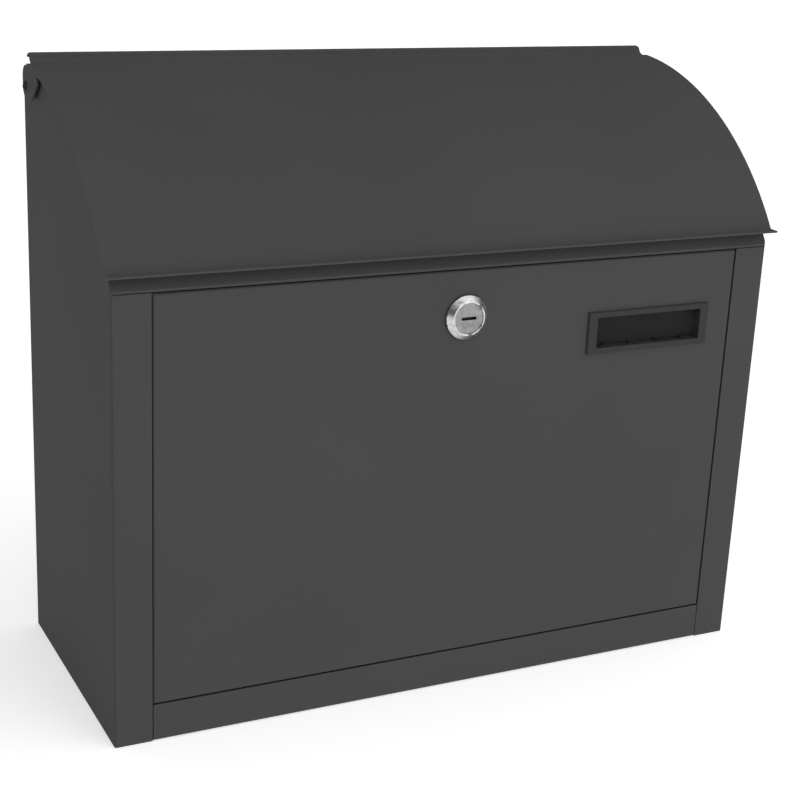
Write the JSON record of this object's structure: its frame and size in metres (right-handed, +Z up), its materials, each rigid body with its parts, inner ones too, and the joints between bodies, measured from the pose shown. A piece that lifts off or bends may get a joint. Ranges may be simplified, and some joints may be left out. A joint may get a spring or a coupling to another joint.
{
  "type": "wall mounted mailbox",
  "caption": "Sheet steel letterbox for a wall, with a curved lid hinged at the back, a drop-down front door with a cam lock and a framed nameplate.",
  "frame": {"origin": "centre of the four wall holes, on the back panel's outer face", "axes": "+X to the right seen from the front, +Y into the wall, +Z up"},
  "size_m": [0.3786, 0.1562, 0.3248],
  "materials": {
    "powder_coat": "fine matt anthracite powder coat",
    "lock_chrome": "satin chrome on zinc",
    "zinc_plate": "bright zinc plate",
    "dark_rivet": "black coated rivet",
    "nylon": "black nylon",
    "bezel_plastic": "moulded plastic in the body colour",
    "clear_pane": "clear polished plastic",
    "black_plastic": "black moulded plastic",
    "wafer_brass": "stamped brass",
    "buffer_rubber": "soft black rubber"
  },
  "bodies": {
    "box": {"back_panel": "powder_coat", "side_panel_left": "powder_coat", "side_panel_right": "powder_coat", "base_tray": "powder_coat", "top_rail": "powder_coat", "lid_buffers": "buffer_rubber", "door_hinge_bracket_left": "powder_coat", "door_hinge_bracket_right": "powder_coat", "door_hinge_pin_left": "zinc_plate", "door_hinge_pin_right": "zinc_plate"},
    "lid": {"lid": "powder_coat", "lid_pivot_rivet_left": "dark_rivet", "lid_pivot_rivet_right": "dark_rivet", "lid_pivot_washer_left": "nylon", "lid_pivot_washer_right": "nylon"},
    "door": {"door": "powder_coat", "lock_housing": "lock_chrome", "lock_washer": "zinc_plate", "lock_nut": "zinc_plate", "nameplate_bezel": "bezel_plastic", "nameplate_window": "clear_pane", "nameplate_backing": "black_plastic"},
    "lock": {"lock_plug": "lock_chrome", "lock_wafers": "wafer_brass", "lock_cam": "zinc_plate", "cam_screw": "zinc_plate"}
  },
  "joints": [
    {"name": "lid_hinge", "type": "hinge", "parent": "box", "child": "lid", "pos_m": [0, -0.0145, 0.1483], "axis": [-1, 0, 0], "range_deg": [0, 28]},
    {"name": "door_hinge", "type": "hinge", "parent": "box", "child": "door", "pos_m": [0, -0.146, -0.1346], "axis": [1, 0, 0], "range_deg": [0, 94]},
    {"name": "lock_turn", "type": "hinge", "parent": "door", "child": "lock", "pos_m": [0, -0.151, 0.048], "axis": [0, 1, 0], "range_deg": [0, 90]}
  ]
}
